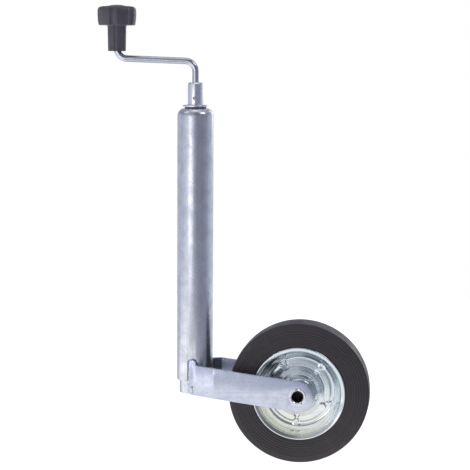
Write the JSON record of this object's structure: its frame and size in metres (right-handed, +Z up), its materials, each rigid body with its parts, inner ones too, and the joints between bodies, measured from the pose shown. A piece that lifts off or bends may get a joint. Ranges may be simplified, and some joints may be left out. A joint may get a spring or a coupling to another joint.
{
  "type": "trailer jack wheel",
  "caption": "Telescopic trailer jack with a cranked screw handle, a clamping tube and a solid-tyred steel wheel in a fork.",
  "frame": {"origin": "on the outer tube's axis, about halfway along the straight stretch that a clamp grips", "axes": "+Z up the tube towards the crank, +X from the tube towards the wheel, Y along the wheel's axle"},
  "size_m": [0.366, 0.09, 0.6048],
  "materials": {
    "zinc_tube": "bright zinc plating, slightly mottled",
    "zinc_fork": "bluish zinc plating, slightly mottled",
    "zinc_bright": "bright zinc plating, near mirror",
    "zinc_rim": "glossy zinc plating with a greenish yellow passivation tint",
    "machined_steel": "oiled machined steel",
    "bearing_steel": "ground bearing steel",
    "brass_cage": "pressed brass",
    "black_plastic": "moulded, semi-matt",
    "black_nylon": "moulded nylon",
    "white_nylon": "natural nylon",
    "tyre_rubber": "moulded solid rubber, fine rings on the sidewall"
  },
  "bodies": {
    "outer": {"outer_tube": "zinc_tube", "neck_bush": "black_nylon", "upper_race": "bearing_steel"},
    "crank": {"spindle": "machined_steel", "lower_race": "bearing_steel", "bearing_cage": "brass_cage", "bearing_balls": "bearing_steel", "stop_collar": "machined_steel", "stop_pin": "machined_steel", "top_washer": "zinc_bright", "crank_socket": "zinc_bright", "socket_pin": "machined_steel", "crank_rod": "zinc_bright", "knob_retainer": "machined_steel"},
    "knob": {"knob_body": "black_plastic", "knob_cap": "black_plastic"},
    "inner": {"inner_tube": "zinc_tube", "spindle_nut": "machined_steel", "nut_pins": "machined_steel", "fork_arm_front": "zinc_fork", "fork_arm_rear": "zinc_fork", "weld_beads": "zinc_fork", "axle": "zinc_fork", "axle_spacers": "zinc_rim"},
    "wheel": {"hub_tube": "zinc_rim", "bush_front": "white_nylon", "bush_rear": "white_nylon", "rim_front": "zinc_rim", "rim_rear": "zinc_rim", "rim_rivets": "zinc_rim", "tyre": "tyre_rubber"}
  },
  "joints": [
    {"name": "crank_turn", "type": "hinge", "parent": "outer", "child": "crank", "pos_m": [0, 0, 0.2], "axis": [0, 0, -1], "range_deg": [0, 19800]},
    {"name": "lift_slide", "type": "slide", "parent": "outer", "child": "inner", "axis": [0, 0, -1], "range_m": [0, 0.2201]},
    {"name": "knob_spin", "type": "hinge", "parent": "crank", "child": "knob", "pos_m": [-0.105, 0, 0.28], "axis": [0, 0, 1], "continuous": true},
    {"name": "wheel_spin", "type": "hinge", "parent": "inner", "child": "wheel", "pos_m": [0.1415, 0, -0.2025], "axis": [0, 1, 0], "continuous": true}
  ],
  "couplings": [
    {"joint": "lift_slide", "follows": "crank_turn", "m_per_rad": 0.00063662}
  ]
}
